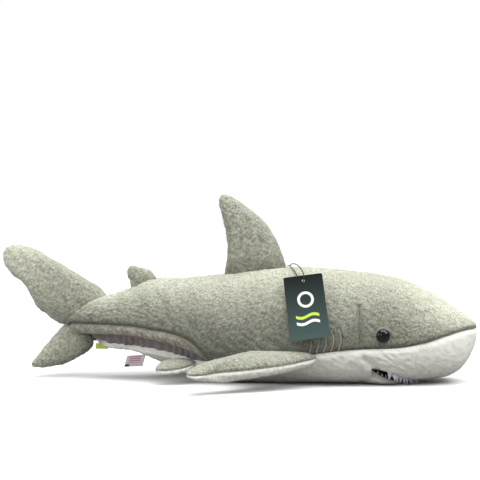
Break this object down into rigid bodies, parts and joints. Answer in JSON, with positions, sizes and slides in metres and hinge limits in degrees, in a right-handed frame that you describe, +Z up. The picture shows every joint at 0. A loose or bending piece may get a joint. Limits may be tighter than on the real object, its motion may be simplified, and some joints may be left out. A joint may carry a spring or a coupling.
{
  "type": "plush shark hand puppet",
  "caption": "Stuffed plush shark with a glove pocket in its flank, an opening felt-toothed mouth, sewn-on fins that flop, safety eyes, a care label and a card tag on a string.",
  "frame": {"origin": "centre of the shark's box, on the floor that it rests on", "axes": "+X towards the nose, +Z up, +Y towards the shark's left side"},
  "size_m": [0.6354, 0.316, 0.2486],
  "materials": {
    "grey_plush": "matte",
    "white_plush": "matte",
    "fibre_fill": "matte",
    "lining_cloth": "satin",
    "red_cloth": "matte",
    "tooth_felt": "matte",
    "eye_plastic": "gloss",
    "washer_plastic": "satin",
    "gill_thread": "satin",
    "green_ribbon": "satin",
    "label_ribbon": "satin",
    "tag_board": "satin",
    "tag_cord": "matte"
  },
  "bodies": {
    "trunk": {"back_cover_right": "grey_plush", "back_cover_left": "grey_plush", "snout_underside_right": "white_plush", "snout_underside_left": "white_plush", "belly_cover": "white_plush", "opening_hem": "grey_plush", "trunk_stuffing": "fibre_fill", "head_stuffing": "fibre_fill", "hand_lining": "lining_cloth", "palate_lining": "red_cloth", "upper_teeth": "tooth_felt", "eye_right": "eye_plastic", "eye_left": "eye_plastic", "eye_washer_right": "washer_plastic", "eye_washer_left": "washer_plastic", "gill_stitches_right": "gill_thread", "gill_stitches_left": "gill_thread", "seam_tab": "green_ribbon"},
    "lower_jaw": {"jaw_cover": "white_plush", "jaw_pad": "fibre_fill", "jaw_lining": "red_cloth", "lower_teeth": "tooth_felt"},
    "pectoral_fin_right": {"pectoral_top_right": "grey_plush", "pectoral_bottom_right": "white_plush", "pectoral_stuffing_right": "fibre_fill"},
    "pectoral_fin_left": {"pectoral_top_left": "grey_plush", "pectoral_bottom_left": "white_plush", "pectoral_stuffing_left": "fibre_fill"},
    "dorsal_fin": {"dorsal_panel_right": "grey_plush", "dorsal_panel_left": "grey_plush", "dorsal_stuffing": "fibre_fill"},
    "second_dorsal_fin": {"second_dorsal_panel_right": "grey_plush", "second_dorsal_panel_left": "grey_plush", "second_dorsal_stuffing": "fibre_fill"},
    "tail_upper_lobe": {"tail_upper_panel_right": "grey_plush", "tail_upper_panel_left": "grey_plush", "tail_upper_stuffing": "fibre_fill"},
    "tail_lower_lobe": {"tail_lower_panel_right": "grey_plush", "tail_lower_panel_left": "grey_plush", "tail_lower_stuffing": "fibre_fill"},
    "pelvic_fin_right": {"pelvic_top_right": "grey_plush", "pelvic_bottom_right": "white_plush", "pelvic_stuffing_right": "fibre_fill"},
    "pelvic_fin_left": {"pelvic_top_left": "grey_plush", "pelvic_bottom_left": "white_plush", "pelvic_stuffing_left": "fibre_fill"},
    "label": {"care_label": "label_ribbon"},
    "hang_tag": {"tag_card": "tag_board", "tag_string": "tag_cord"}
  },
  "joints": [
    {"name": "jaw_open", "type": "hinge", "parent": "trunk", "child": "lower_jaw", "pos_m": [0.1805, 0, 0.0215], "axis": [0, -1, 0], "range_deg": [-5, 20], "stiffness_Nm_per_rad": 0.15},
    {"name": "pectoral_right_flap", "type": "hinge", "parent": "trunk", "child": "pectoral_fin_right", "pos_m": [0.062, -0.0735, 0.038], "axis": [-1, 0, 0], "range_deg": [-8, 25], "stiffness_Nm_per_rad": 0.3},
    {"name": "pectoral_left_flap", "type": "hinge", "parent": "trunk", "child": "pectoral_fin_left", "pos_m": [0.062, 0.0735, 0.038], "axis": [1, 0, 0], "range_deg": [-8, 25], "stiffness_Nm_per_rad": 0.3},
    {"name": "dorsal_sway", "type": "hinge", "parent": "trunk", "child": "dorsal_fin", "pos_m": [0.024, 0, 0.1475], "axis": [0.9926, 0, 0.1214], "range_deg": [-15, 15], "stiffness_Nm_per_rad": 0.5},
    {"name": "second_dorsal_sway", "type": "hinge", "parent": "trunk", "child": "second_dorsal_fin", "pos_m": [-0.125, 0, 0.1295], "axis": [0.9518, 0, 0.3067], "range_deg": [-15, 15], "stiffness_Nm_per_rad": 0.05},
    {"name": "tail_upper_sway", "type": "hinge", "parent": "trunk", "child": "tail_upper_lobe", "pos_m": [-0.2095, 0, 0.0965], "axis": [0.7933, 0, 0.6088], "range_deg": [-20, 20], "stiffness_Nm_per_rad": 0.3},
    {"name": "tail_lower_sway", "type": "hinge", "parent": "trunk", "child": "tail_lower_lobe", "pos_m": [-0.2155, 0, 0.056], "axis": [0.839, 0, -0.5442], "range_deg": [-18, 18], "stiffness_Nm_per_rad": 0.1},
    {"name": "pelvic_right_flap", "type": "hinge", "parent": "trunk", "child": "pelvic_fin_right", "pos_m": [-0.078, -0.046, 0.026], "axis": [-1, 0, 0], "range_deg": [-12, 8], "stiffness_Nm_per_rad": 0.03},
    {"name": "pelvic_left_flap", "type": "hinge", "parent": "trunk", "child": "pelvic_fin_left", "pos_m": [-0.078, 0.046, 0.026], "axis": [1, 0, 0], "range_deg": [-12, 8], "stiffness_Nm_per_rad": 0.03},
    {"name": "label_swing", "type": "hinge", "parent": "trunk", "child": "label", "pos_m": [-0.1352, -0.0137, 0.0322], "axis": [1, 0, 0], "range_deg": [-45, 45]},
    {"name": "tag_swing", "type": "hinge", "parent": "trunk", "child": "hang_tag", "pos_m": [0.0685, -0.002, 0.1527], "axis": [-1, 0, 0], "range_deg": [0, 45]}
  ]
}
